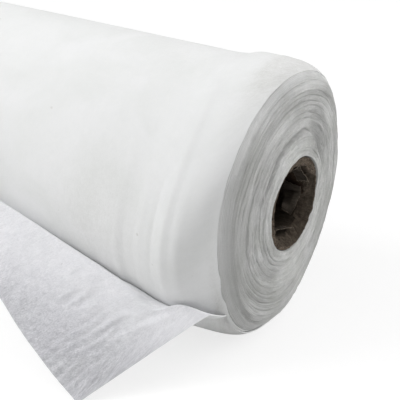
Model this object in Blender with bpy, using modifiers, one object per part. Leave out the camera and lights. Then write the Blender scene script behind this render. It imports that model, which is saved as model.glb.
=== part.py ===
"""Geotextile roll: a nonwoven web wound on a board core, with one corner of its free end turned back.

The roll lies along X on a floor at Z = 0. Its domed end is at +X and the turned-back corner lies in
front, at -Y. The origin is on the floor, under the middle of the web. Lengths are in metres.

The web leaves the roll at the outside in one sense only: up the front, over the top, down the back
and under. A place round the roll is an angle in degrees, 0 at the front, 90 at the top, which grows
that way.
"""

import math

import bmesh
import bpy
import numpy as np
from mathutils import Vector

MM = 0.001
MERGE_WITHIN = 0.01 * MM
SHARP_ANGLE = 40.0

# The web and the roll that it makes.
WEB_WIDTH = 1000 * MM
WEB_THICKNESS = 1.1 * MM
ROLL_RADIUS = 135 * MM
FOOT_DEPTH = 1.0 * MM
CLEARANCE = 0.3 * MM

# The board core.
CORE_BORE_RADIUS = 38.1 * MM
CORE_WALL = 9.5 * MM
CORE_STEPS = 40
CORE_TEAR_DEPTH = 3.0 * MM
TEAR_WAVES = (
    # waves round the mouth, share of the depth, where they start
    (3, 0.45, 0.4),
    (7, 0.32, 2.1),
    (11, 0.23, 1.3),
)
CORE_STEP_DEPTH = 5.0 * MM
CORE_STEP_WALL = 3.2 * MM
CORE_LIP = 1.2 * MM

# The strip of tape that holds the first turn to the core.
TAPE_THICKNESS = 0.4 * MM
TAPE_SPREAD = 50.0
TAPE_STEPS = 6
TAPE_SET_BACK = 20 * MM

# The packed turns. A loop stands for about four turns of web.
LOOPS = 20
LOOP_STEPS = 36
LOOP_GAP = 0.57 * MM
PACK_END_ANGLE = -65.0
FOOT_PLACE = 270.0

# The ends of the roll: the turns creep out towards the core, and the outer ones droop.
DOME_RISE = 9 * MM
DROOP = 14 * MM
DROOP_DEPTH = 20 * MM

# The loose outer turn, which flares near the domed end and sags there at the lower front.
OUTER_SLACK = 1.0 * MM
FLARE = 2.6 * MM
FLARE_REACH = 80 * MM
FLARE_RISE = 35 * MM
SHOULDER_TURN = 12 * MM
SHOULDER_DROP = 0.5 * MM
SAG = 5.5 * MM
SAG_ANGLE = -57.0
SAG_SPREAD = 14.0
SAG_REACH = 170 * MM
SAG_FADE = 110 * MM

# The free end, which lifts off the roll to the fold.
CUT_END_ANGLE = 30.0
END_LIFT = 1.3 * MM
LIFT_ANGLE_NEAR = -45.0
LIFT_ANGLE_FAR = -15.0
LIE_STEPS = 5
LIFT_STEPS = 9
FOLD_NEAR_ANGLE = -24.5
FOLD_NEAR_STANDOFF = 8 * MM
FOLD_FAR_ANGLE = 16.0
FOLD_FAR_STANDOFF = 24 * MM
FOLD_FAR_IN = 375 * MM
FADE_LENGTH = 230 * MM
FOLD_STATIONS = 6
FADE_STATIONS = 3
LIFT_HANDLE = 34 * MM
FOLD_HANDLE = 15 * MM

# The turned-back corner.
CORNER_PROUD = 102 * MM
CORNER_IN = 75 * MM
CREASE_BELOW_FOLD = 12 * MM
CORNER_TIP = 8 * MM
CORNER_STEPS = 16
CORNER_DROP_STEPS = 10
CORNER_SAG = 6 * MM
WRINKLE_HEIGHT = 2.2 * MM
WRINKLE_WIDTH_SHARE = 0.035
WRINKLE_PLACE_SHARES = (0.09, 0.19, 0.31)

# The plies that have come loose inside the mouth of the core.
PLY_THICKNESS = 0.7 * MM
PLY_STEPS = 6
PLY_CURL = 2.0

LOOSE_PLIES = (
    # name, middle angle, spread in degrees, length, how far it leans in at the mouth, set back
    ("loose_ply_upper", 128.0, 66.0, 46 * MM, 9.0 * MM, 1.5 * MM),
    ("loose_ply_back", 212.0, 74.0, 60 * MM, 6.0 * MM, 6.0 * MM),
    ("loose_ply_lower", 306.0, 70.0, 38 * MM, 8.0 * MM, 3.0 * MM),
)

# Sizes that follow from those above.
AXIS_HEIGHT = ROLL_RADIUS - FOOT_DEPTH
CORE_RADIUS = CORE_BORE_RADIUS + CORE_WALL
PACK_INNER = CORE_RADIUS + 2 * CLEARANCE + TAPE_THICKNESS
PACK_OUTER = ROLL_RADIUS - WEB_THICKNESS - OUTER_SLACK
LOOP_PITCH = (PACK_OUTER - PACK_INNER - LOOP_GAP - 2 * WEB_THICKNESS) / (LOOPS - 1)
LOOP_THICKNESS = LOOP_PITCH - LOOP_GAP
FOOT_ANGLE = math.degrees(math.acos(AXIS_HEIGHT / ROLL_RADIUS))

PAINTS = {
    # colour and roughness
    "web": ((0.84, 0.85, 0.85), 0.92),
    "web_back": ((0.70, 0.71, 0.73), 0.97),
    "board": ((0.36, 0.26, 0.17), 0.88),
    "ply": ((0.46, 0.35, 0.24), 0.9),
    "tape": ((0.74, 0.66, 0.47), 0.45),
}


def clear_scene():
    """Removes what the scene starts with."""
    for obj in list(bpy.data.objects):
        bpy.data.objects.remove(obj, do_unlink=True)


def paint(name):
    """The named plain material."""
    material = bpy.data.materials.get(name) or bpy.data.materials.new(name)
    colour, roughness = PAINTS[name]
    material.use_nodes = True
    shader = material.node_tree.nodes["Principled BSDF"]
    shader.inputs["Base Color"].default_value = (*colour, 1.0)
    shader.inputs["Roughness"].default_value = roughness
    shader.inputs["Metallic"].default_value = 0.0
    return material


def smooth(share):
    """An ease from 0 to 1, held at both ends."""
    share = min(max(share, 0.0), 1.0)
    return share * share * (3 - 2 * share)


def mix(first, last, share):
    return first + (last - first) * share


def around(x, radius, angle):
    """A point at this place along the roll, this far from its axis, at this angle round it."""
    turn = math.radians(angle)
    return Vector((x, -radius * math.cos(turn), AXIS_HEIGHT + radius * math.sin(turn)))


def up_round(angle):
    """The direction in which the web runs on round the roll at this angle."""
    turn = math.radians(angle)
    return Vector((0, math.sin(turn), math.cos(turn)))


def edge_x(radius, side):
    """Where the web's edge lies at this radius: side 1 is the domed end, side -1 the dished one."""
    depth = max(ROLL_RADIUS - radius, 0.0)
    dome = DOME_RISE * depth / (ROLL_RADIUS - CORE_RADIUS)
    droop = DROOP * (1 - min(depth / DROOP_DEPTH, 1.0)) ** 2
    return side * (WEB_WIDTH / 2 - droop) + dome


def link(obj, collection, paint_name):
    """Puts the finished object in its collection with its material."""
    obj.data.materials.append(paint(paint_name))
    obj.data.shade_smooth()
    obj.data.set_sharp_from_angle(angle=math.radians(SHARP_ANGLE))
    collection.objects.link(obj)
    return obj


def mesh_object(name, shape):
    mesh = bpy.data.meshes.new(name)
    shape.to_mesh(mesh)
    shape.free()
    return bpy.data.objects.new(name, mesh)


def loft(name, sections):
    """A solid through closed sections of equal count, capped at both ends."""
    shape = bmesh.new()
    rings = [[shape.verts.new(point) for point in section] for section in sections]
    count = len(rings[0])
    for ring, after in zip(rings, rings[1:]):
        for i in range(count):
            j = (i + 1) % count
            shape.faces.new((ring[i], ring[j], after[j], after[i]))
    shape.faces.new(reversed(rings[0]))
    shape.faces.new(rings[-1])
    bmesh.ops.recalc_face_normals(shape, faces=shape.faces)
    return mesh_object(name, shape)


def sheet(name, rows, thickness, origin=Vector((0, 0, 0))):
    """A sheet of even thickness: a grid whose points are moved onto the rows of its middle surface."""
    shape = bmesh.new()
    bmesh.ops.create_grid(shape, x_segments=len(rows[0]) - 1, y_segments=len(rows) - 1, size=WEB_WIDTH)
    places = [point for row in rows for point in row]
    for vert, place in zip(shape.verts, places, strict=True):
        vert.co = place - origin
    obj = mesh_object(name, shape)
    wall = obj.modifiers.new("thickness", "SOLIDIFY")
    wall.thickness = thickness
    wall.offset = 0
    wall.use_even_offset = True
    return obj


def bezier(start, start_way, end, end_way, steps):
    """Points after the start on a curve that leaves and arrives along these two vectors."""
    first, last = start + start_way, end - end_way
    points = []
    for i in range(1, steps + 1):
        t = i / steps
        points.append(
            (1 - t) ** 3 * start + 3 * t * (1 - t) ** 2 * first + 3 * t**2 * (1 - t) * last + t**3 * end
        )
    return points


# The core.


def torn(angle, depth):
    """How far the torn mouth of the core falls short at this angle."""
    turn = math.radians(angle)
    wave = sum(height * math.sin(count * turn + phase) for count, height, phase in TEAR_WAVES)
    return depth * (1 + wave) / 2


def core_tube(collection):
    """The board tube, with a torn mouth at the domed end, where its inner plies stop short."""
    back, mouth = edge_x(CORE_RADIUS, -1), edge_x(CORE_RADIUS, 1)
    step_radius = CORE_BORE_RADIUS + CORE_STEP_WALL
    profile = [
        (CORE_RADIUS - CORE_LIP, mouth),
        (CORE_RADIUS, mouth - CORE_LIP),
        (CORE_RADIUS, back),
        (CORE_BORE_RADIUS, back),
        (CORE_BORE_RADIUS, mouth - CORE_STEP_DEPTH),
        (step_radius, mouth - CORE_STEP_DEPTH + CORE_LIP),
        (step_radius + CORE_LIP, mouth),
    ]
    shape = bmesh.new()
    corners = [shape.verts.new((radius, 0, along)) for radius, along in profile]
    for corner, after in zip(corners, corners[1:] + corners[:1]):
        shape.edges.new((corner, after))
    outline = mesh_object("core_outline", shape)
    turn = outline.modifiers.new("turn", "SCREW")
    turn.steps = turn.render_steps = CORE_STEPS
    turn.use_merge_vertices = True
    turn.merge_threshold = MERGE_WITHIN
    bpy.context.scene.collection.objects.link(outline)
    mesh = bpy.data.meshes.new_from_object(outline.evaluated_get(bpy.context.evaluated_depsgraph_get()))
    bpy.data.objects.remove(outline, do_unlink=True)
    for vert in mesh.vertices:
        if vert.co.z > mouth - CORE_STEP_DEPTH - CORE_LIP:
            vert.co.z -= torn(math.degrees(math.atan2(vert.co.y, vert.co.x)), CORE_TEAR_DEPTH)
    mesh.name = "core_tube"
    obj = bpy.data.objects.new("core_tube", mesh)
    obj.location = (0, 0, AXIS_HEIGHT)
    obj.rotation_euler = (0, math.radians(90), 0)
    return link(obj, collection, "board")


def loose_ply(collection, name, middle, spread, length, lean, set_back):
    """A ply that has peeled from the bore near the mouth and leans in as it nears it."""
    mouth = edge_x(CORE_RADIUS, 1) - CORE_STEP_DEPTH - CORE_TEAR_DEPTH - set_back
    seat = CORE_BORE_RADIUS - CLEARANCE - PLY_THICKNESS
    rows = []
    for i in range(PLY_STEPS + 1):
        share = i / PLY_STEPS
        row = []
        for j in range(PLY_STEPS + 1):
            across = 2 * j / PLY_STEPS - 1
            radius = seat - lean * share**PLY_CURL * (1 - across**2 * (1 - share / 2))
            row.append(around(mouth - length * (1 - share), radius, middle + across * spread / 2))
        rows.append(row)
    return link(sheet(name, rows, PLY_THICKNESS), collection, "ply")


def start_tape(collection):
    """The tape that holds the start of the web to the core."""
    radius = CORE_RADIUS + CLEARANCE + TAPE_THICKNESS / 2
    ends = [edge_x(CORE_RADIUS, side) - side * TAPE_SET_BACK for side in (-1, 1)]
    rows = [
        [
            around(x, radius, PACK_END_ANGLE + TAPE_SPREAD * (j / TAPE_STEPS - 1 / 2))
            for j in range(TAPE_STEPS + 1)
        ]
        for x in ends
    ]
    return link(sheet("start_tape", rows, TAPE_THICKNESS), collection, "tape")


# The packed turns.


def pack_radii(turns):
    """The inner and outer radius of the strip after so many turns. It thins to one web at both ends."""
    outer = PACK_INNER + WEB_THICKNESS + LOOP_PITCH * turns
    return max(PACK_INNER, outer - LOOP_THICKNESS), min(PACK_OUTER, outer)


def least_loop_gap():
    """The least gap between each loop's outside and the inside of the next, measured on points."""
    count = LOOPS * LOOP_STEPS
    inner, outer = [], []
    for i in range(count + 1):
        low, high = pack_radii(i / LOOP_STEPS)
        angle = PACK_END_ANGLE + 360 * i / LOOP_STEPS
        inner.append(around(0, low, angle)[1:])
        outer.append(around(0, high, angle)[1:])
    inner, outer = np.array(inner), np.array(outer)
    least = math.inf
    for i in range(count - LOOP_STEPS):
        after = i + LOOP_STEPS
        for j in range(max(after - 2, 0), min(after + 2, count)):
            start, way = inner[j], inner[j + 1] - inner[j]
            for point in (outer[i], (outer[i] + outer[i + 1]) / 2):
                share = np.clip(np.dot(point - start, way) / np.dot(way, way), 0, 1)
                least = min(least, float(np.linalg.norm(start + share * way - point)))
    return least


def wound_web(collection):
    """The packed turns, as one unbroken strip from the core outwards."""
    sections = []
    for i in range(LOOPS * LOOP_STEPS + 1):
        low, high = pack_radii(i / LOOP_STEPS)
        angle = PACK_END_ANGLE + 360 * i / LOOP_STEPS
        middle = (low + high) / 2
        left, right = edge_x(middle, -1), edge_x(middle, 1)
        sections.append([around(x, radius, angle) for radius, x in
                         ((low, left), (low, right), (high, right), (high, left))])
    return link(loft("wound_web", sections), collection, "web")


# The outer turn and the free end.


def flare(x):
    """How far the loose outer turn stands off near the domed end."""
    from_edge = edge_x(ROLL_RADIUS, 1) - x
    if from_edge < SHOULDER_TURN:
        return mix(-SHOULDER_DROP, FLARE, smooth(from_edge / SHOULDER_TURN))
    return FLARE * smooth((FLARE_REACH - from_edge) / FLARE_RISE)


def loose(x, angle):
    """How far the outer turn and the free end stand off here, by the flare and the sag."""
    from_edge = edge_x(ROLL_RADIUS, 1) - x
    off = (angle - SAG_ANGLE + 180) % 360 - 180
    sag = SAG * smooth((SAG_REACH - from_edge) / SAG_FADE) * math.exp(-((off / SAG_SPREAD) ** 2))
    return flare(x) + sag


def turn_radius(turns):
    """The middle of the outer turn, which eases out from the end of the packed turns."""
    inner = PACK_OUTER - WEB_THICKNESS + (WEB_THICKNESS + OUTER_SLACK) * (1 - (1 - turns) ** 3)
    return inner + WEB_THICKNESS / 2


def press_to_floor(point):
    """The point, or the place on the floor to which the roll's weight presses it."""
    return Vector((point.x, point.y, max(point.z, WEB_THICKNESS / 2)))


def outer_stations():
    """The places along the roll, from the domed end, where the loose outer turn changes shape."""
    edge = edge_x(ROLL_RADIUS, 1)
    from_edge = (0, SHOULDER_TURN, FLARE_REACH - FLARE_RISE, FLARE_REACH, SAG_REACH)
    return [edge - distance for distance in from_edge]


def outer_turn(collection):
    """The last full turn, pressed flat where the roll lies on it."""
    butt = math.degrees(CLEARANCE / ROLL_RADIUS)
    places = []
    for i in range(LOOP_STEPS + 1):
        angle = PACK_END_ANGLE + 360 * i / LOOP_STEPS
        from_foot = angle - FOOT_PLACE
        if abs(from_foot) < FOOT_ANGLE:
            angle = FOOT_PLACE + math.copysign(FOOT_ANGLE, from_foot)
        places.append((i / LOOP_STEPS, angle))
    places[0] = (0, PACK_END_ANGLE + butt)
    places[-1] = (1, PACK_END_ANGLE + 360 - butt)
    rows = [
        [press_to_floor(around(x, turn_radius(turns) + loose(x, angle), angle)) for turns, angle in places]
        for x in outer_stations() + [edge_x(ROLL_RADIUS, -1)]
    ]
    return link(sheet("outer_turn", rows, WEB_THICKNESS), collection, "web")


class Fold:
    """Where the free end leaves the roll, folds over and comes down to the corner on the floor."""

    def __init__(self):
        edge = edge_x(ROLL_RADIUS, 1)
        self.near = around(edge, ROLL_RADIUS + FOLD_NEAR_STANDOFF, FOLD_NEAR_ANGLE)
        self.far = around(edge - FOLD_FAR_IN, ROLL_RADIUS + FOLD_FAR_STANDOFF, FOLD_FAR_ANGLE)
        rest = WEB_THICKNESS + CLEARANCE
        self.corner = Vector((edge - CORNER_IN, -ROLL_RADIUS - CORNER_PROUD, rest))
        self.side = (self.corner - self.near).normalized()
        self.length = (self.corner - self.near).length
        self.along = (self.far - self.near).normalized()
        self.up = self.side.cross(self.along).normalized()
        if self.up.z < 0:
            self.up = -self.up
        self.last_share = 1 - (CREASE_BELOW_FOLD + CORNER_TIP) / self.length

    def top(self, share):
        """The fold at this share of the way from the near edge to where it meets the cut end."""
        return self.near.lerp(self.far, share)

    def crease(self, share):
        """The line about which the corner lifts, or the cut end where that comes first."""
        width = min(CREASE_BELOW_FOLD, self.length * (1 - share))
        return self.top(share) + self.side * width

    def cut(self, share):
        """The cut end at this share of the way from the corner to where it meets the fold."""
        return self.corner.lerp(self.far, share)

    def gap(self):
        """What keeps the corner clear of the fixed part as it lifts."""
        return self.side * (WEB_THICKNESS / 2 + CLEARANCE)

    def hinge(self):
        """The near end of the line about which the corner lifts."""
        return self.crease(0) + self.gap()

    def hinge_way(self):
        """The direction of that line. A turn about it by the right-hand rule lifts the corner."""
        return (self.crease(self.last_share) - self.crease(0)).normalized()


def free_end_end(fold, x):
    """Where the fixed part of the free end stops at this place along the roll, and its way there."""
    edge = edge_x(ROLL_RADIUS, 1)
    share = (edge - x) / FOLD_FAR_IN
    if share <= 1:
        return fold.crease(share), fold.side * FOLD_HANDLE
    faded = smooth((share - 1) * FOLD_FAR_IN / FADE_LENGTH)
    radius = mix(ROLL_RADIUS + FOLD_FAR_STANDOFF, end_radius(CUT_END_ANGLE), faded)
    angle = mix(FOLD_FAR_ANGLE, CUT_END_ANGLE, faded)
    lie_handle = radius * math.tan(math.radians(CUT_END_ANGLE - LIFT_ANGLE_FAR) / 4) * 4 / 3
    way = (fold.side * FOLD_HANDLE).lerp(up_round(angle) * lie_handle, faded)
    return around(x, radius, angle), way


def end_radius(angle):
    """The middle of the free end where it lies on the roll, over the start of the outer turn."""
    share = (angle - PACK_END_ANGLE) / (CUT_END_ANGLE - PACK_END_ANGLE)
    return turn_radius(1) + END_LIFT * share


def free_end(collection, fold):
    """The free end from the end of the full turn to the crease of the corner and to the cut end."""
    butt = math.degrees(CLEARANCE / ROLL_RADIUS)
    stations = outer_stations()
    last = edge_x(ROLL_RADIUS, 1) - FOLD_FAR_IN * fold.last_share
    tip = edge_x(ROLL_RADIUS, 1) - FOLD_FAR_IN
    beyond = stations[-1]
    stations += [mix(beyond, last, (i + 1) / FOLD_STATIONS) for i in range(FOLD_STATIONS)]
    stations += [tip - FADE_LENGTH * i / FADE_STATIONS for i in range(FADE_STATIONS + 1)]
    stations.append(edge_x(ROLL_RADIUS, -1))
    rows = []
    for x in stations:
        share = smooth((edge_x(ROLL_RADIUS, 1) - x) / FOLD_FAR_IN)
        lift = mix(LIFT_ANGLE_NEAR, LIFT_ANGLE_FAR, share)
        first = PACK_END_ANGLE + butt
        angles = [mix(first, lift, i / LIE_STEPS) for i in range(LIE_STEPS + 1)]
        row = [around(x, end_radius(angle) + loose(x, angle), angle) for angle in angles]
        end, way = free_end_end(fold, x)
        row += bezier(row[-1], up_round(lift) * LIFT_HANDLE, end, way, LIFT_STEPS)
        rows.append(row)
    return link(sheet("free_end", rows, WEB_THICKNESS), collection, "web")


def turned_corner(collection, fold):
    """The corner that is turned back, on an empty that stands on the crease."""
    hinge = bpy.data.objects.new("turned_corner_hinge", None)
    hinge.location = fold.hinge()
    collection.objects.link(hinge)
    rows = []
    for i in range(CORNER_STEPS + 1):
        across = i / CORNER_STEPS
        start = fold.crease(across * fold.last_share) + fold.gap()
        end = fold.cut(across * fold.last_share)
        row = []
        for j in range(CORNER_DROP_STEPS + 1):
            down = j / CORNER_DROP_STEPS
            height = -CORNER_SAG * math.sin(math.pi * across) * down**2
            for place in WRINKLE_PLACE_SHARES:
                ridge = math.exp(-(((across - place) / WRINKLE_WIDTH_SHARE) ** 2))
                height += WRINKLE_HEIGHT * ridge * smooth(down)
            row.append(start.lerp(end, down) + fold.up * height)
        rows.append(row)
    obj = sheet("turned_corner", rows, WEB_THICKNESS, Vector(hinge.location))
    obj.parent = hinge
    return link(obj, collection, "web_back")


def main():
    clear_scene()
    roll = bpy.data.collections.new("geotextile_roll")
    bpy.context.scene.collection.children.link(roll)
    core_tube(roll)
    for name, middle, spread, length, lean, set_back in LOOSE_PLIES:
        loose_ply(roll, name, middle, spread, length, lean, set_back)
    start_tape(roll)
    wound_web(roll)
    outer_turn(roll)
    fold = Fold()
    free_end(roll, fold)
    turned_corner(roll, fold)
    print("least gap of the winding to itself: %.2f mm" % (least_loop_gap() / MM))
    print("hinge of the corner at", *(round(value, 5) for value in fold.hinge()))
    print("hinge of the corner along", *(round(value, 5) for value in fold.hinge_way()))


main()
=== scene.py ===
"""Looks of the geotextile roll: a white nonwoven web wound on a torn board core, with a corner turned back.

Everything is in metres in the frame of the CAD part: the roll lies along X with its domed end at +X, its
front is -Y and the floor is Z = 0. A place round the roll is an angle in degrees, 0 at the front and 90 at
the top, which grows in the sense in which the web is wound.
"""

import logging
import math
from dataclasses import dataclass
from enum import Enum
from typing import Sequence

import bpy
import numpy as np
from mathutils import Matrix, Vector

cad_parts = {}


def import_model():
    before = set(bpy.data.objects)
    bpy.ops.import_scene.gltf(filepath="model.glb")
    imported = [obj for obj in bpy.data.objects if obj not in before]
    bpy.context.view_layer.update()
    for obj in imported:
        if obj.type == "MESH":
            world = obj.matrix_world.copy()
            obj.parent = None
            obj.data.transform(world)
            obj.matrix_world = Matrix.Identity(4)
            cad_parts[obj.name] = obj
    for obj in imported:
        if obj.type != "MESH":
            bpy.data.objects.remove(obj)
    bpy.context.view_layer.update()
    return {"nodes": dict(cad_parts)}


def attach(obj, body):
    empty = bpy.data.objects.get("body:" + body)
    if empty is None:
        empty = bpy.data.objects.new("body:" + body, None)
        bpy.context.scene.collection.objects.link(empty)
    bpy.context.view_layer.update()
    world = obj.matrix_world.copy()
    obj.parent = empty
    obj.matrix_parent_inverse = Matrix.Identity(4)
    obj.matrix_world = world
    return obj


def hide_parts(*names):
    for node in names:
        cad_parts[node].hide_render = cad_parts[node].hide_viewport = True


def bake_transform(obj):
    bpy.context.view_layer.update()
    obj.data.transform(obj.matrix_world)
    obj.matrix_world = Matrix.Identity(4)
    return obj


LOG = logging.getLogger("geotextile_roll")
MM = 0.001

Points = np.ndarray
Piece = bpy.types.Object
Socket = bpy.types.NodeSocket
Triple = tuple[float, float, float]


class Side(Enum):
    """The two ends of the roll."""

    DOMED = 1
    DISHED = -1


class Slot(Enum):
    """The record's material slots, which no piece of this script is given."""

    WEB = "web"
    BOARD = "board"
    PLY = "ply"


# Helpers on numbers.


def smooth(share: Points) -> Points:
    """An ease from 0 to 1, held at both ends."""
    share = np.clip(share, 0.0, 1.0)
    return share * share * (3 - 2 * share)


def mix(first: Points, last: Points, share: Points) -> Points:
    """The value this share of the way from first to last."""
    return first + (last - first) * share


def rise(value: Points, start: float, length: float) -> Points:
    """An ease from 0 to 1 over this length from the start on."""
    return smooth((value - start) / length)


def angle_gap(angle: Points, centre: float) -> Points:
    """How far each angle lies from the centre the short way round, in degrees."""
    return (np.asarray(angle) - centre + 180.0) % 360.0 - 180.0


def bump(distance: Points, width: float) -> Points:
    """A bell of height 1 that has fallen to 0.37 at this distance."""
    return np.exp(-((distance / width) ** 2))


def lobe(angle: Points, centre: float, width: float) -> Points:
    """A bell round the roll, with its middle and its width in degrees."""
    return bump(angle_gap(angle, centre), width)


def on_circle(angle: Points, size: Points, lift: Points) -> Points:
    """Places on a circle of this size, this high up, for noise that meets itself all the way round."""
    turn = np.radians(angle)
    return np.stack([np.cos(turn) * size, np.sin(turn) * size, lift * np.ones_like(turn)], axis=-1)


@dataclass(frozen=True)
class Noise:
    """Smooth value noise in space, the same on each run.

    Attributes:
        seed: Which of the fields it is.
    """

    seed: int

    def lattice(self, cell: Points) -> Points:
        """A number from -1 to 1 for each whole cell."""
        mixed = (
            cell[..., 0] * 374761393 + cell[..., 1] * 668265263 + cell[..., 2] * 2147483647 + self.seed * 1274126177
        ) & 0x7FFFFFFF
        mixed = ((mixed ^ (mixed >> 13)) * 1274126177) & 0x7FFFFFFF
        return ((mixed ^ (mixed >> 16)) & 0xFFFFFF) / float(0x7FFFFF) - 1.0

    def at(self, points: Points, scale: float) -> Points:
        """The noise at each point.

        Args:
            points: Places, as an array whose last axis is x, y, z.
            scale: The length of a cell, in the points' unit.

        Returns:
            A number from -1 to 1 for each point.
        """
        place = np.asarray(points, float) / scale
        cell = np.floor(place).astype(np.int64)
        share = smooth(place - cell)
        total = 0.0
        for corner in range(8):
            offset = np.array([corner & 1, (corner >> 1) & 1, (corner >> 2) & 1])
            weight = np.prod(np.where(offset == 1, share, 1 - share), axis=-1)
            total = total + weight * self.lattice(cell + offset)
        return total

    def layered(self, points: Points, scale: float, layers: int) -> Points:
        """Several layers of the noise, each half as wide and half as strong as the one before."""
        total, strength = 0.0, 1.0
        for layer in range(layers):
            total = total + strength * Noise(self.seed + 31 * layer).at(points, scale * strength)
            strength /= 2
        return total


# Helpers on meshes.


def deselect() -> None:
    """Leaves object mode with nothing selected."""
    if bpy.context.mode != "OBJECT":
        bpy.ops.object.mode_set(mode="OBJECT")
    bpy.ops.object.select_all(action="DESELECT")


def choose(obj: Piece) -> None:
    """Makes the object the only one selected, and active."""
    deselect()
    obj.select_set(True)
    bpy.context.view_layer.objects.active = obj


def grid(name: str, places: Points) -> Piece:
    """A grid primitive whose points are moved onto the places.

    Args:
        name: The piece's name.
        places: Rows by columns by 3.

    Returns:
        The object, at the origin.
    """
    rows, columns = places.shape[:2]
    deselect()
    bpy.ops.mesh.primitive_grid_add(x_subdivisions=columns - 1, y_subdivisions=rows - 1, size=1)
    obj = bpy.context.active_object
    obj.name = obj.data.name = name
    obj.data.vertices.foreach_set("co", np.ascontiguousarray(places.reshape(-1, 3), np.float32).ravel())
    obj.data.update()
    return obj


def grid_uv(obj: Piece, flat: Points) -> None:
    """Gives a grid its flat place, in metres, as its UV map.

    Args:
        obj: A grid just made by grid().
        flat: Rows by columns by 2.
    """
    layer = obj.data.uv_layers.active or obj.data.uv_layers.new(name="UVMap")
    corners = np.empty(len(obj.data.loops), np.int32)
    obj.data.loops.foreach_get("vertex_index", corners)
    layer.data.foreach_set("uv", np.ascontiguousarray(flat.reshape(-1, 2)[corners], np.float32).ravel())


def store(obj: Piece, kind: str = "FLOAT", **named: Points) -> None:
    """Stores numbers on the points of the mesh.

    Args:
        obj: A grid just made by grid().
        kind: FLOAT for one number a point, or FLOAT_VECTOR for three.
        named: The numbers of each attribute, under its name.
    """
    for name, values in named.items():
        attribute = obj.data.attributes.new(name, kind, "POINT")
        field = "value" if kind == "FLOAT" else "vector"
        attribute.data.foreach_set(field, np.ascontiguousarray(values, np.float32).ravel())


def close_up(obj: Piece, within: float) -> None:
    """Merges points that lie together, closes what is open and turns all faces outwards."""
    choose(obj)
    bpy.ops.object.mode_set(mode="EDIT")
    bpy.ops.mesh.select_all(action="SELECT")
    bpy.ops.mesh.remove_doubles(threshold=within)
    bpy.ops.mesh.select_all(action="SELECT")
    bpy.ops.mesh.fill_holes(sides=0)
    bpy.ops.mesh.select_all(action="SELECT")
    bpy.ops.mesh.normals_make_consistent(inside=False)
    bpy.ops.object.mode_set(mode="OBJECT")


def apply_all(obj: Piece) -> None:
    """Applies the object's modifiers in their order."""
    choose(obj)
    for modifier in list(obj.modifiers):
        bpy.ops.object.modifier_apply(modifier=modifier.name)


def thicken(obj: Piece, thickness: float, back_slot: int = 0, even: bool = True) -> None:
    """Gives a sheet its thickness on both sides of its middle.

    Args:
        obj: The sheet.
        thickness: In metres.
        back_slot: How many slots further the material of the other side is.
        even: Whether the thickness is kept at bends, which a sharply folded sheet can't do.
    """
    wall = obj.modifiers.new("thickness", "SOLIDIFY")
    wall.thickness = thickness
    wall.offset = 0
    wall.use_even_offset = even
    wall.material_offset = back_slot
    apply_all(obj)


def shade(obj: Piece, angle: float) -> None:
    """Shades the piece smooth but for edges sharper than this angle, in degrees."""
    choose(obj)
    bpy.ops.object.shade_smooth_by_angle(angle=math.radians(angle))
    deselect()


def report(obj: Piece) -> None:
    """Logs the piece's name and size."""
    obj.data.calc_loop_triangles()
    LOG.info("%s: %d triangles", obj.name, len(obj.data.loop_triangles))


# Finishes.


def fill(node: bpy.types.Node, **values: object) -> bpy.types.Node:
    """Sets a node's own input values, whose names are written with _ for a space, and hands it back."""
    for name, value in values.items():
        node.inputs[name.replace("_", " ")].default_value = value
    return node


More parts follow.
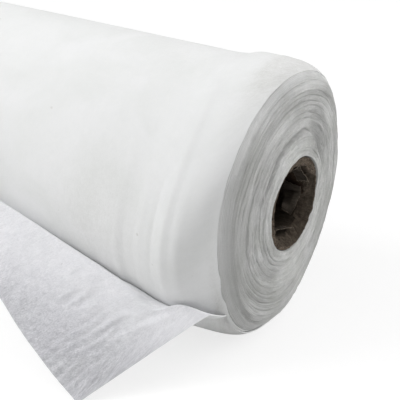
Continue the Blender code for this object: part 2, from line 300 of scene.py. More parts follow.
class NodeMaterial:
    """A material under construction: its tree, its shader and short ways to add nodes."""

    def __init__(self, name: str, roughness: float, specular: float) -> None:
        """Starts a material with a plain Principled shader.

        Args:
            name: The material's name.
            roughness: Its even roughness.
            specular: Its even specular level.
        """
        self.material = bpy.data.materials.new(name)
        self.material.use_nodes = True
        self.tree = self.material.node_tree
        self.shader = fill(self.tree.nodes["Principled BSDF"], Roughness=roughness, Specular_IOR_Level=specular)

    def node(self, kind: str, **values: object) -> bpy.types.Node:
        """Adds a node and sets its properties."""
        node = self.tree.nodes.new(kind)
        for key, value in values.items():
            setattr(node, key, value)
        return node

    def link(self, source: Socket, target: Socket) -> None:
        """Joins an output to an input."""
        self.tree.links.new(source, target)

    def coordinates(self, uv: bool, stretch: Sequence[float] = (1, 1, 1)) -> Socket:
        """The piece's own UV map or its Object coordinates, stretched."""
        source = self.node("ShaderNodeTexCoord").outputs["UV" if uv else "Object"]
        return self.stretched(source, stretch)

    def stretched(self, source: Socket, stretch: Sequence[float]) -> Socket:
        """Places that are stretched along x, y and z."""
        mapping = fill(self.node("ShaderNodeMapping"), Scale=stretch)
        self.link(source, mapping.inputs["Vector"])
        return mapping.outputs["Vector"]

    def noise(self, place: Socket, scale: float, detail: float, roughness: float, distortion: float) -> Socket:
        """A noise texture's value."""
        texture = self.node("ShaderNodeTexNoise")
        fill(texture, Scale=scale, Detail=detail, Roughness=roughness, Distortion=distortion)
        self.link(place, texture.inputs["Vector"])
        return texture.outputs["Fac"]

    def attribute(self, name: str) -> Socket:
        """A number stored on the mesh."""
        return self.node("ShaderNodeAttribute", attribute_name=name).outputs["Fac"]

    def ramp(self, value: Socket, *stops: tuple[float, Sequence[float]]) -> Socket:
        """A colour ramp through these places and colours."""
        ramp = self.node("ShaderNodeValToRGB")
        elements = ramp.color_ramp.elements
        while len(elements) < len(stops):
            elements.new(0.5)
        for element, (place, colour) in zip(elements, stops):
            element.position = place
            element.color = (*colour, 1.0)
        self.link(value, ramp.inputs["Fac"])
        return ramp.outputs["Color"]

    def window(self, value: Socket, low: float, high: float) -> Socket:
        """0 below low, 1 above high and a straight rise between."""
        node = fill(self.node("ShaderNodeMapRange"), From_Min=low, From_Max=high)
        self.link(value, node.inputs["Value"])
        return node.outputs["Result"]

    def give(self, target: Socket, value: object) -> None:
        """Joins a socket to an input, or sets the input to a number or to a colour of three numbers."""
        if isinstance(value, Socket):
            self.link(value, target)
        else:
            target.default_value = (*value, 1.0) if isinstance(value, tuple) else value

    def math(self, operation: str, first: Socket, second: object) -> Socket:
        """A math node on a socket and a socket or number."""
        node = self.node("ShaderNodeMath", operation=operation)
        self.give(node.inputs[0], first)
        self.give(node.inputs[1], second)
        return node.outputs[0]

    def times(self, first: Socket, second: object) -> Socket:
        """The product of a socket and a socket or number."""
        return self.math("MULTIPLY", first, second)

    def blend(self, kind: str, share: object, first: Socket, second: object) -> Socket:
        """Mixes two colours.

        Args:
            kind: The blend type, such as MIX or MULTIPLY.
            share: A socket or a number.
            first: The colour below.
            second: A socket or a colour of three numbers.

        Returns:
            The mixed colour.
        """
        node = self.node("ShaderNodeMix", data_type="RGBA", blend_type=kind)
        self.give(node.inputs["Factor"], share)
        self.give(node.inputs[6], first)
        self.give(node.inputs[7], second)
        return node.outputs[2]

    def colour(self, colour: Socket) -> None:
        """Sets the shader's colour."""
        self.link(colour, self.shader.inputs["Base Color"])

    def bumps(self, *layers: tuple[Socket, float, float]) -> None:
        """Adds layers of bump: the height, its strength and its depth in metres."""
        normal = None
        for height, strength, depth in layers:
            node = fill(self.node("ShaderNodeBump"), Strength=strength, Distance=depth)
            self.link(height, node.inputs["Height"])
            if normal is not None:
                self.link(normal, node.inputs["Normal"])
            normal = node.outputs["Normal"]
        self.link(normal, self.shader.inputs["Normal"])


@dataclass(frozen=True)
class NonwovenFinish:
    """The web's surface: pressed fibres, soft mottling, a little site dirt and painted shade where the mesh stores
    it.

    Attributes:
        name: The material's name.
        light: The colour of the dense places.
        dark: The colour of the thin places.
        dirt: The colour of smudges and specks.
        worn: What the colour is multiplied by where the mesh stores painted shade.
        mottle: How strongly dense and thin places differ, 0 to 1.
        fuzz: How far the fibres stand out, in metres.
        smudges: How strong the smudges are, 0 to 1.
    """

    name: str
    light: Triple
    dark: Triple
    dirt: Triple
    worn: Triple
    mottle: float
    fuzz: float
    smudges: float

    def build(self) -> bpy.types.Material:
        """Makes the material, on the piece's own UV map in metres."""
        made = NodeMaterial(self.name, 0.92, 0.12)
        fill(made.shader, Sheen_Weight=0.15, Sheen_Roughness=0.6)
        fill(made.shader, Subsurface_Weight=0.4, Subsurface_Radius=(1.0, 1.0, 1.0), Subsurface_Scale=2.0 * MM)
        place = made.coordinates(uv=True)
        strand = made.coordinates(uv=True, stretch=(0.45, 1.0, 1.0))
        cloud = made.noise(place, 14.0, 4.0, 0.55, 0.6)
        blotch = made.noise(place, 120.0, 3.0, 0.6, 0.8)
        clump = made.noise(strand, 330.0, 4.0, 0.7, 1.6)
        fibre = made.noise(place, 900.0, 3.0, 0.75, 1.2)
        dense = made.math("ADD", made.times(clump, 0.35), made.times(fibre, 0.45))
        dense = made.math("ADD", dense, made.times(blotch, 0.20))
        tone = made.ramp(dense, (0.5 - 0.5 * self.mottle, self.dark), (0.5 + 0.4 * self.mottle, self.light))
        tone = made.blend("MULTIPLY", made.window(cloud, 0.62, 0.34), tone, (0.95, 0.955, 0.945))
        smudge = made.window(made.noise(place, 5.0, 6.0, 0.72, 0.8), 0.60, 0.78)
        tone = made.blend("MIX", made.times(smudge, self.smudges), tone, self.dirt)
        speck = made.window(made.noise(place, 95.0, 1.0, 0.3, 0.0), 0.80, 0.84)
        tone = made.blend("MIX", made.times(speck, 0.55), tone, self.dirt)
        # Painted shade: the colour is darkened where the mesh stores it, more on the thin fibres.
        worn = made.times(made.attribute("worn"), made.window(dense, 0.72, 0.36))
        tone = made.blend("MULTIPLY", worn, tone, self.worn)
        made.colour(tone)
        fuzz = self.fuzz
        made.bumps((cloud, 0.25, 2.0 * MM), (blotch, 0.3, 2 * fuzz), (clump, 0.45, fuzz), (fibre, 0.6, fuzz / 2))
        return made.material


@dataclass(frozen=True)
class TurnEdgeFinish:
    """The cut edges of the wound turns: fibre ends, pale lips and painted shade in the gaps and creases between them.

    Attributes:
        name: The material's name.
        lip: The colour of a lip free of dust and of painted shade.
        gap: The colour of the painted shade between two turns and in creases.
        dusty_and_shaded: The colour of the turns that have picked up dust, and of painted shade in the hollow beside
            the collar and over the front of the domed end.
        rim: The colour of the outermost turns, which lie bent over.
    """

    name: str
    lip: Triple
    gap: Triple
    dusty_and_shaded: Triple
    rim: Triple

    def build(self) -> bpy.types.Material:
        """Makes the material from what the mesh stores, and noise on Object coordinates."""
        made = NodeMaterial(self.name, 0.95, 0.08)
        place = made.coordinates(uv=False)
        wound = made.node("ShaderNodeAttribute", attribute_name="wound").outputs["Vector"]
        fine = made.stretched(wound, (2.2, 2.2, 0.75))
        fibre = made.noise(place, 850.0, 4.0, 0.7, 1.2)
        patch = made.noise(place, 26.0, 4.0, 0.6, 0.5)
        broad = made.noise(wound, 0.22, 3.0, 0.55, 0.5)
        streak = made.noise(fine, 1.0, 4.0, 0.65, 0.8)
        # Dust and painted shade: turns that are dusty or shaded lean to the darker colour.
        tone = made.ramp(made.attribute("band"), (0.15, self.dusty_and_shaded), (0.85, self.lip))
        tone = made.blend("MULTIPLY", made.window(broad, 0.60, 0.36), tone, (0.86, 0.865, 0.86))
        lively = made.window(made.attribute("calm"), 1.3, 0.0)
        streaked = made.times(made.window(streak, 0.66, 0.34), lively)
        tone = made.blend("MULTIPLY", streaked, tone, (0.80, 0.80, 0.80))
        tone = made.blend("MULTIPLY", made.window(patch, 0.58, 0.40), tone, (0.92, 0.925, 0.91))
        tone = made.blend("MULTIPLY", made.window(fibre, 0.66, 0.34), tone, (0.84, 0.84, 0.84))
        tone = made.blend("MIX", made.times(made.attribute("rim"), 0.5), tone, self.rim)
        # Painted shade: creases, the valleys between turns and the hidden walls lean to the gap colour.
        tone = made.blend("MIX", made.attribute("depth"), tone, self.gap)
        made.colour(tone)
        made.bumps((streak, 0.5, 0.7 * MM), (fibre, 0.7, 0.5 * MM), (patch, 0.3, 1.0 * MM))
        return made.material


@dataclass(frozen=True)
class BoardFinish:
    """Brown kraft board, with paler torn fibre where the mesh stores it.

    Attributes:
        name: The material's name.
        face: The colour of the board's face.
        shadow: The colour of stains and scuffs.
        torn: The colour of torn fibre.
        grain: Stretch of the paper's grain along x, y and z.
    """

    name: str
    face: Triple
    shadow: Triple
    torn: Triple
    grain: Triple = (0.3, 1.0, 1.0)

    def build(self) -> bpy.types.Material:
        """Makes the material, on Object coordinates."""
        made = NodeMaterial(self.name, 0.9, 0.12)
        place = made.coordinates(uv=False)
        grain = made.noise(made.coordinates(uv=False, stretch=self.grain), 420.0, 5.0, 0.65, 0.8)
        stain = made.noise(place, 55.0, 4.0, 0.6, 0.6)
        fibre = made.noise(place, 1000.0, 4.0, 0.75, 2.2)
        tuft = made.noise(place, 420.0, 4.0, 0.7, 1.5)
        tone = made.ramp(grain, (0.32, self.shadow), (0.68, self.face))
        tone = made.blend("MULTIPLY", made.window(stain, 0.60, 0.38), tone, (0.6, 0.57, 0.55))
        tone = made.blend("MULTIPLY", made.attribute("peel"), tone, (0.70, 0.55, 0.50))
        torn = made.times(made.attribute("torn"), made.window(fibre, 0.34, 0.62))
        torn = made.times(torn, made.window(tuft, 0.40, 0.60))
        tone = made.blend("MIX", torn, tone, self.torn)
        # Painted shade: the torn fibre is darkened in the hollows of its tuft bump.
        pit_shade = made.times(made.attribute("torn"), made.window(tuft, 0.46, 0.34))
        tone = made.blend("MULTIPLY", pit_shade, tone, (0.25, 0.22, 0.2))
        made.colour(tone)
        made.bumps((grain, 0.5, 0.5 * MM), (tuft, 0.7, 0.9 * MM), (fibre, 0.6, 0.4 * MM))
        return made.material


@dataclass(frozen=True)
class TapeFinish:
    """Creped paper tape."""

    name: str = "creped_tape"
    light: Triple = (0.78, 0.70, 0.50)
    dark: Triple = (0.62, 0.53, 0.36)

    def build(self) -> bpy.types.Material:
        """Makes the material, with its crepe across the tape."""
        made = NodeMaterial(self.name, 0.5, 0.4)
        crepe = made.noise(made.coordinates(uv=False, stretch=(1.0, 0.1, 0.1)), 900.0, 3.0, 0.6, 0.4)
        made.colour(made.ramp(crepe, (0.35, self.dark), (0.65, self.light)))
        made.bumps((crepe, 0.6, 0.2 * MM))
        return made.material


# The fourth colour of each side is its painted shade.
OUTER_SIDE = NonwovenFinish(
    "nonwoven_outer_side", (0.905, 0.91, 0.91), (0.845, 0.855, 0.855), (0.60, 0.60, 0.56), (0.78, 0.77, 0.75), 0.5,
    0.12 * MM, 0.10,
)
INNER_SIDE = NonwovenFinish(
    "nonwoven_inner_side", (0.965, 0.962, 0.997), (0.75, 0.752, 0.785), (0.46, 0.46, 0.45), (0.56, 0.56, 0.57), 0.29,
    0.5 * MM, 0.14,
)
# The edges' second colour is the painted shade between turns, the third is dust and painted shade.
TURN_EDGES = TurnEdgeFinish(
    "nonwoven_turn_edges", (0.88, 0.88, 0.87), (0.46, 0.46, 0.455), (0.72, 0.72, 0.71), (0.88, 0.885, 0.885)
)
BOARD = BoardFinish("kraft_board", (0.125, 0.107, 0.084), (0.060, 0.049, 0.038), (0.30, 0.235, 0.18))
PEELED_PLY = BoardFinish("peeled_kraft_ply", (0.125, 0.108, 0.088), (0.065, 0.054, 0.044), (0.44, 0.37, 0.29))


# The roll's form, in the part's sizes.


@dataclass(frozen=True)
class RollForm:
    """The sizes of the wound roll that all its pieces share.

    Attributes:
        slack: The gap between the outer turn's start and the web that comes to lie over it.
        end_lift: How much the free end rises where it lies on its own start.
        dome: How far the innermost turns have slid towards +X.
        droop: How far the outermost turns lie back at the roll's shoulder, within droop_depth of its outside.
        start_angle: Where each turn of the spiral starts.
        cut_angle: Where the web's cut end lies beyond the fold.
        pinched: How far the outer turns are drawn in at the domed end's front.
        rounded: How far they are drawn in nearly all round it.
        end_waves: How far the outer turns stand out at the domed end, each its angle and its millimetres.
    """

    width: float = 1000 * MM
    thickness: float = 1.1 * MM
    radius: float = 135 * MM
    axis_height: float = 134 * MM
    core_radius: float = 47.6 * MM
    bore_radius: float = 38.1 * MM
    pack_inner: float = 48.6 * MM
    pack_outer: float = 132.9 * MM
    slack: float = 1.0 * MM
    end_lift: float = 1.3 * MM
    dome: float = 9 * MM
    droop: float = 14 * MM
    droop_depth: float = 20 * MM
    start_angle: float = -65.0
    cut_angle: float = 30.0
    turns: int = 77
    pinched: float = 14 * MM
    pinch_angle: float = -8.0
    pinch_spread: float = 29.0
    pinch_reach: float = 38 * MM
    rounded: float = 2.6 * MM
    end_waves: tuple[tuple[float, float], ...] = (
        (-180, -2.4), (-165, -3.4), (-150, -5.0), (-135, -3.6), (-120, -3.0), (-105, 0.0), (-90, 4.5), (-75, 6.0),
        (-60, 5.0), (-42, 3.2), (-28, 1.6), (-12, -0.4), (0, -0.8), (18, 1.8), (32, 4.5), (50, 6.5), (75, 7.0),
        (95, 9.0), (115, 8.5), (135, 4.8), (150, 2.2), (165, -0.5),
    )

    def around(self, x: Points, radius: Points, angle: Points) -> Points:
        """Places this far along the roll, this far from its axis, at this angle."""
        turn = np.radians(angle)
        parts = np.broadcast_arrays(x, -radius * np.cos(turn), self.axis_height + radius * np.sin(turn))
        return np.stack(parts, axis=-1)

    def across(self, places: Points) -> Points:
        """Each place's y and z, seen from the roll's axis."""
        return places[..., 1:] - np.array([0.0, self.axis_height])

    def angle_of(self, places: Points) -> Points:
        """Each place's angle round the roll."""
        across = self.across(places)
        return np.degrees(np.arctan2(across[..., 1], -across[..., 0]))

    def pinch(self, angle: Points, inwards: Points) -> Points:
        """How far the outer turns are drawn in at the domed end's front, this far in from the end."""
        near = np.clip(1 - np.asarray(inwards) / self.pinch_reach, 0, 1) ** 3
        rounded = self.rounded * (1 - lobe(angle, 132.0, 22.0))
        return near * (self.pinched * lobe(angle, self.pinch_angle, self.pinch_spread) + rounded)

    def end_wave(self, angle: Points) -> Points:
        """How far the domed end's outer turns stand out beyond its plain form at each angle."""
        places, heights = zip(*self.end_waves)
        return np.interp(np.asarray(angle, float), places, np.array(heights) * MM, period=360.0)

    def edge(self, radius: Points, side: Side) -> Points:
        """Where the web's edge lies at this radius."""
        depth = np.maximum(self.radius - np.asarray(radius, float), 0.0)
        dome = self.dome * depth / (self.radius - self.core_radius)
        droop = self.droop * (1 - np.minimum(depth / self.droop_depth, 1.0)) ** 2
        return side.value * (self.width / 2 - droop) + dome


FORM = RollForm()


@dataclass
class Web:
    """The outer turn, the free end and the turned-back corner: one cloth without a seam.

    A row of the cloth runs along the web at one distance from its edge. It goes once round the roll, lies
    on its own start, lifts off, folds and comes down to the floor.

    Attributes:
        flare: How far the outer turn stands off near its edge, and ridge: how much more it does at the top.
        shoulder: How far from its edge the turn starts to round off, and tongue: how much further in front.
        sag: How far the turn hangs down below the front of the roll, round sag_angle.
        lift_below: How far below the fold the free end leaves the roll, in degrees: at the edge, and further in.
        bulge_most: The most that the outer turn stands forward under the fold.
        fade: Over which length the fold dies away into the plain roll.
        fold_waves: How the fold is bent, each its share of the way and its millimetres down the flap's slope.
        cut_waves: The same for the cut end.
        near_shift: How far the fold's near end is moved from its plain place.
        corner_proud: How far in front of the roll the corner lies, and corner_in: how far in from the edge.
        wrinkles: The flap's wrinkles, each its place along the flap, height in millimetres and width.
        creases: The creases on the roll, each its distance from the edge in millimetres, its middle angle and
            reach in degrees, and its height and width in millimetres.
        shade_patches: Where shade is painted on the cloth, each its distance from the edge and reach in millimetres,
            its middle
        angle and reach in degrees, and its strength.
        zones: How far from the edge each zone of rows reaches, and how far apart its rows are.
    """

    form: RollForm = FORM
    flare: float = 2.6 * MM
    flare_reach: float = 80 * MM
    flare_rise: float = 35 * MM
    ridge: float = 3.2 * MM
    ridge_reach: float = 62 * MM
    ridge_rise: float = 16 * MM
    shoulder: float = 22 * MM
    tongue: float = 10 * MM
    shoulder_drop: float = 1.0 * MM
    shoulder_out: float = 3.3 * MM
    sag: float = 5.5 * MM
    sag_angle: float = -57.0
    sag_spread: float = 14.0
    sag_reach: float = 170 * MM
    sag_fade: float = 110 * MM
    lift_below: tuple[float, float] = (13.0, 3.0)
    lift_reach: float = 45 * MM
    bulge_gap: float = 2.0 * MM
    groove: float = 6.0 * MM
    groove_width: float = 13.0
    bulge_above: float = 62.0
    bulge_below: float = 34.0
    line_soft: int = 8
    bulge_start: float = 22 * MM
    bulge_rise: float = 60 * MM
    bulge_most: float = 19 * MM
    fold_near_angle: float = -24.5
    fold_near_standoff: float = 8 * MM
    fold_far_angle: float = 16.0
    fold_far_standoff: float = 24 * MM
    fold_far_in: float = 375 * MM
    fade: float = 230 * MM
    lift_handle: float = 5 * MM
    fold_handle: float = 4 * MM
    fold_waves: tuple[tuple[float, float], ...] = (
        (0, -7.8), (0.04, -6.0), (0.06, -4.5), (0.075, -1.5), (0.088, 9.0), (0.1, 19.5), (0.12, 17.8), (0.15, 13.4),
        (0.2, 7.3), (0.3, 2.6), (0.4, -0.8), (0.5, -4.6), (0.61, -8.2), (0.8, -6.0), (1, 0),
    )
    cut_waves: tuple[tuple[float, float], ...] = (
        (0, 0), (0.06, 1.6), (0.1, 2.7), (0.24, 2.9), (0.3, 1.5), (0.355, -0.5), (0.5, -1.5), (1, 0),
    )
    near_shift: Triple = (4.0 * MM, 0.0, -3.5 * MM)
    corner_proud: float = 99.5 * MM
    corner_in: float = 80 * MM
    crease_below: float = 12 * MM
    corner_sag: float = 1 * MM
    corner_bow: float = 7 * MM
    wrinkles: tuple[Triple, ...] = (
        (0.045, 1.2, 0.005), (0.075, 2.2, 0.006), (0.106, 2.6, 0.006), (0.138, 1.9, 0.006), (0.168, 1.2, 0.006),
    )
    creases: tuple[tuple[float, float, float, float, float], ...] = (
        (24, -8, 24, 0.5, 2.5), (33, 0, 30, -0.6, 3.0), (41, -6, 26, 0.6, 3.0), (52, 2, 30, -0.6, 3.0),
        (66, 0, 30, 0.4, 4.0), (84, 0, 30, -0.5, 5.0), (40, 60, 40, 0.6, 4.5), (26, 100, 30, 0.6, 4.5),
        (58, 120, 50, -0.5, 5.0), (105, -14, 26, 0.4, 5.0),
    )
    shade_patches: tuple[tuple[float, float, float, float, float], ...] = (
        # Painted shade on the roll: on its front and top, at its lower front near the edge where it sags, and along
        # its edge at the top.
        (118, 45, 0, 26, 0.6), (110, 60, 105, 32, 0.22), (4, 16, -54, 22, 1.0), (0, 3, -52, 40, 1.0),
        (0, 13, 104, 27, 2.6), (30, 26, 124, 20, 0.5),
    )
    # Painted shade on the turned-back corner: where it starts below the fold, and over what length it grows.
    worn_start: float = 20 * MM
    worn_fade: float = 80 * MM
    ragged_reach: float = 25 * MM
    wave_reach: float = 150 * MM
    shoulder_reach: float = 30 * MM
    turn_columns: int = 120
    lie_columns: int = 20
    lift_columns: int = 30
    free_columns: int = 100
    curve_steps: int = 60
    fold_steps: int = 60
    fade_steps: int = 12
    zones: tuple[tuple[float, float], ...] = ((110 * MM, 2 * MM), (420 * MM, 5 * MM), (972 * MM, 11 * MM))
    soft: Noise = Noise(3)
    fine: Noise = Noise(17)

    def __post_init__(self) -> None:
        """Works out the fold's near and far ends, the corner and the flap's directions."""
        form = self.form
        self.edge_x = edge = float(form.edge(form.radius, Side.DOMED))
        self.near = form.around(edge, form.radius + self.fold_near_standoff, self.fold_near_angle)
        self.near = self.near + np.array(self.near_shift)
        self.far = form.around(edge - self.fold_far_in, form.radius + self.fold_far_standoff, self.fold_far_angle)
        self.corner = np.array([edge - self.corner_in, -form.radius - self.corner_proud, 1.4 * MM])
        self.length = float(np.linalg.norm(self.corner - self.near))
        self.side = (self.corner - self.near) / self.length
        self.along = (self.far - self.near) / np.linalg.norm(self.far - self.near)
        up = np.cross(self.side, self.along)
        self.up = up / np.linalg.norm(up) * (1 if up[2] > 0 else -1)
        flat = np.cross(self.up, self.along)
        self.flat = flat if flat @ self.side > 0 else -flat
        self.line = self.fold_line()

    def stations(self) -> Points:
        """The rows' distances from the domed edge, closer together near it."""
        places = [0.0]
        for end, step in self.zones:
            count = round((end - places[-1]) / step)
            places += list(np.linspace(places[-1], end, count + 1)[1:])
        return np.array(places)

    def loose(self, from_edge: float, angle: Points) -> Points:
        """How far the loose outer turn stands off: its flare, its rounded shoulder and its sag."""
        tongue = lobe(angle, -12.0, 14.0)
        width = self.shoulder + self.tongue * tongue
        flare = self.flare * smooth((self.flare_reach - from_edge) / self.flare_rise)
        ridge = smooth((self.ridge_reach - from_edge) / self.ridge_rise)
        flare = flare + self.ridge * lobe(angle, 112.0, 42.0) * ridge
        short = np.clip(1 - from_edge / width, 0, 1)
        sag = self.sag * smooth((self.sag_reach - from_edge) / self.sag_fade)
        sag = sag * lobe(angle, self.sag_angle, self.sag_spread)
        loose = flare + sag - (flare + self.shoulder_drop) * short**2.6 - self.form.pinch(angle, from_edge)
        return loose + self.bulge(from_edge, angle)

    def turn_radius(self, turns: Points) -> Points:
        """The middle of the outer turn after this share of it."""
        form = self.form
        inner = form.pack_outer - form.thickness + (form.thickness + form.slack) * (1 - (1 - turns) ** 3)
        return inner + form.thickness / 2

    def end_radius(self, angle: Points) -> Points:
        """The middle of the free end where it lies on the roll."""
        form = self.form
        share = (angle - form.start_angle) / (form.cut_angle - form.start_angle)
        return self.turn_radius(1.0) + form.end_lift * share

    def around_part(self, from_edge: float) -> Points:
        """One row's places round the roll, up to where it lifts off."""
        form = self.form
        x = self.edge_x - from_edge
        lift = self.lift_angle(from_edge)
        turn = np.linspace(0, 1, self.turn_columns + 1)
        angle = form.start_angle + 360 * turn
        first = form.around(x, self.turn_radius(turn) + self.loose(from_edge, angle), angle)
        angle = np.linspace(form.start_angle, lift, self.lie_columns + 1)[1:]
        second = form.around(x, self.end_radius(angle) + self.loose(from_edge, angle), angle)
        return np.concatenate([first, second])

    def fold_line(self) -> Points:
        """The fold from its near end to where it fades: distance from the edge, angle, radius, evened radius."""
        rows = []
        for share in np.linspace(0, 1, self.fold_steps + 1):
            end, _ = self.fold_end(float(share))
            rows.append((self.edge_x - end[0], self.form.angle_of(end), np.hypot(*self.form.across(end))))
        reached = rows[-1][0]
        for faded in np.linspace(0, 1, self.fade_steps + 1)[1:]:
            part = smooth(faded)
            angle = mix(self.fold_far_angle, self.form.cut_angle, part)
            radius = mix(self.form.radius + self.fold_far_standoff, self.end_radius(self.form.cut_angle), part)
            rows.append((reached + self.fade * faded, angle, radius))
        line = np.array(rows)
        padded = np.pad(line[:, 2], self.line_soft, mode="edge")
        window = np.hanning(2 * self.line_soft + 3)[1:-1]
        soft = np.convolve(padded, window / window.sum(), mode="valid")
        return np.concatenate([line, soft[:, None]], axis=1)

    def fold_angle(self, from_edge: Points) -> Points:
        """The fold's angle at this distance from the edge."""
        return np.interp(from_edge, self.line[:, 0], self.line[:, 1])

    def bulge(self, from_edge: Points, angle: Points) -> Points:
        """How far the loose outer turn stands forward under the fold."""
        fold = self.fold_angle(from_edge)
        radius = np.interp(from_edge, self.line[:, 0], self.line[:, 3])
        tall = np.clip(radius - self.form.radius - self.bulge_gap, 0, self.bulge_most)
        tall = tall * smooth((from_edge + self.bulge_start) / self.bulge_rise)
        off = angle_gap(angle, fold)
        bulge = tall * np.where(off > 0, 1 - smooth(off / self.bulge_above), 1 - smooth(-off / self.bulge_below))
        return bulge - np.minimum(self.groove, bulge) * bump(off, self.groove_width)

    def lift_angle(self, from_edge: float) -> float:
        """Where the free end leaves the roll on this row, below the fold."""
        return float(self.fold_angle(from_edge) - mix(*self.lift_below, smooth(from_edge / self.lift_reach)))

    @staticmethod
    def wave(share: float, waves: Sequence[tuple[float, float]], ease: float) -> float:
        """How far down the flap's slope a line is bent here from straight, eased over a share of it."""
        places, heights = zip(*waves)
        return float(np.mean(np.interp(share + np.linspace(-ease, ease, 5), places, heights))) * MM

    def fold_end(self, share: float) -> tuple[Points, Points]:
        """The crease and the cut end at this share of the way along the fold."""
        crease = self.near + (self.far - self.near) * share
        below = min(self.crease_below, self.length * (1 - share))
        bent = self.wave(share, self.fold_waves, 0.006) * min(1.0, below / self.crease_below)
        cut = self.corner + (self.far - self.corner) * share
        return crease + self.side * (below + bent), cut + self.side * self.wave(share, self.cut_waves, 0.03)

    def free_part(self, from_edge: float, start: Points) -> Points:
        """One row's places from where it lifts off to the cut end, evenly spaced."""
        form = self.form
        lift = math.radians(self.lift_angle(from_edge))
        leave = np.array([0.0, math.sin(lift) - math.cos(lift), math.cos(lift) + math.sin(lift)]) * self.lift_handle
        share = from_edge / self.fold_far_in
        if share <= 1:
            end, cut = self.fold_end(share)
            arrive = self.side * self.fold_handle
        else:
            faded = float(smooth((share - 1) * self.fold_far_in / self.fade))
            radius = mix(form.radius + self.fold_far_standoff, float(self.end_radius(form.cut_angle)), faded)
            angle = mix(self.fold_far_angle, form.cut_angle, faded)
            end = cut = form.around(self.edge_x - from_edge, radius, angle)
            turn = math.radians(angle)
            lie = radius * math.tan((math.radians(form.cut_angle) - lift) / 4) * 4 / 3
            arrive = mix(self.side * self.fold_handle, np.array([0, math.sin(turn), math.cos(turn)]) * lie, faded)
        t = np.linspace(0, 1, self.curve_steps + 1)[:, None]
        curve = (1 - t) ** 3 * start + 3 * t * (1 - t) ** 2 * (start + leave)
        curve = curve + 3 * t**2 * (1 - t) * (end - arrive) + t**3 * end
        if np.linalg.norm(cut - end) > 0.5 * MM:
            curve = np.concatenate([curve, end + (cut - end) * t[1:]])
        lengths = np.concatenate([[0], np.cumsum(np.linalg.norm(np.diff(curve, axis=0), axis=1))])
        wanted = np.linspace(0, lengths[-1], self.free_columns + 1)[1:]
        return np.stack([np.interp(wanted, lengths, curve[:, axis]) for axis in range(3)], axis=-1)

    def flap_relief(self, places: Points) -> Points:
        """The sag and the wrinkles of the turned-back corner, along its own normal."""
        offset = places - self.near
        down = offset @ self.flat
        along = offset @ self.along
        onto = smooth(down / (30 * MM))
        span = float(np.linalg.norm(self.far - self.near))
        row = (along - down * (self.side @ self.along) / (self.side @ self.flat)) / span
        middle = np.sin(np.pi * np.clip(row, 0, 1))
        height = -self.corner_sag * middle * smooth(down / (120 * MM)) ** 2
        slope = np.clip(down / (np.linalg.norm(np.cross(self.side, self.along)) * self.length), 0, 1)
        height = height + self.corner_bow * np.sin(np.pi * slope) * middle**0.7
        lower = rise(down, 25 * MM, 45 * MM)
        wander = 0.012 * self.soft.at(places, 30 * MM) + 0.003 * self.fine.at(places, 11 * MM)
        for place, tall, width in self.wrinkles:
            strong = np.clip(0.55 + 0.75 * self.fine.at(places + place, 34 * MM), 0, None)
            crest = row + wander - place
            crest = bump(crest, width) - 0.7 * bump(crest - 1.6 * width, width)
            height = height + tall * strong * MM * crest * lower
        plane = np.stack([row * span, down, np.zeros_like(row)], axis=-1)
        crumple = np.abs(self.fine.at(plane * np.array([1.0, 0.4, 1.0]), 11 * MM))
        near = smooth((0.34 - row) / 0.14) * smooth((85 * MM - down) / (40 * MM))
        height = height + (1.2 * MM - 2.6 * MM * crumple) * near * onto * rise(row, 0.02, 0.04)
        height = height + (0.7 * MM * self.soft.at(places, 40 * MM) + 0.45 * MM * self.fine.at(places, 8 * MM)) * onto
        return height[..., None] * self.up

    def relief(self, places: Points, columns: Points) -> Points:
        """Soft creases and waves of the cloth that lies on the roll, towards or away from the axis."""
        across, angle = self.form.across(places), self.form.angle_of(places)
        height = 0.35 * MM * self.soft.at(places * np.array([0.6, 1.0, 1.0]), 70 * MM)
        height = height + 0.15 * MM * self.fine.at(places * np.array([1.0, 0.5, 0.5]), 22 * MM)
        from_edge = self.edge_x - places[..., 0]
        wander = 2.5 * MM * self.soft.at(places + 0.3, 60 * MM)
        for place, centre, spread, tall, width in self.creases:
            line = bump(from_edge - place * MM + wander, width * MM)
            height = height + tall * MM * line * lobe(angle, centre, spread)
        height = (height * (1 - smooth(self.past_roll(columns) / 20.0)))[..., None]
        way = across / np.linalg.norm(across, axis=-1, keepdims=True)
        return np.concatenate([np.zeros_like(height), way * height], axis=-1)

    def past_roll(self, columns: Points) -> Points:
        """How many columns each one is past the last that lies on the roll."""
        return columns - self.turn_columns - self.lie_columns

    def shape(self) -> tuple[Points, Points]:
        """The cloth's places, row by row, and its flat places."""
        form = self.form
        stations = self.stations()
        rows = []
        for from_edge in stations:
            on_roll = self.around_part(from_edge)
            rows.append(np.concatenate([on_roll, self.free_part(from_edge, on_roll[-1])]))
        places = np.array(rows)
        steps = np.linalg.norm(np.diff(places, axis=1), axis=-1)
        lengths = np.concatenate([np.zeros((len(stations), 1)), np.cumsum(steps, axis=1)], axis=1)
        stations = stations[:, None]
        flat = np.stack([lengths, stations * np.ones_like(lengths)], axis=-1)
        columns = np.arange(places.shape[1]) * np.ones_like(lengths)
        past = self.past_roll(columns)
        places = places + self.relief(places, columns)
        places = places + np.where(past[..., None] > 0, self.flap_relief(places), 0.0)
        ragged = 1.2 * MM * self.soft.at(places, 45 * MM) + 0.5 * MM * self.fine.at(places, 9 * MM)
        places[..., 0] += np.where(past < 0, ragged * bump(stations, self.ragged_reach), 0.0)
        on_roll = 1 - smooth((columns - self.turn_columns) / self.lie_columns)
        shift = form.end_wave(form.angle_of(places)) * on_roll + self.near_shift[0] * (1 - on_roll)
        near_edge = smooth((self.wave_reach - stations) / self.wave_reach)
        places[..., 0] += shift * (1 - smooth(past / self.lift_columns)) * near_edge
        out = smooth(1 - stations / self.shoulder_reach) - smooth((stations - stations[-1]) / self.shoulder_reach + 1)
        places[..., 0] += self.shoulder_out * out * on_roll
        places[..., 2] = np.maximum(places[..., 2], form.thickness / 2)
        return places, flat

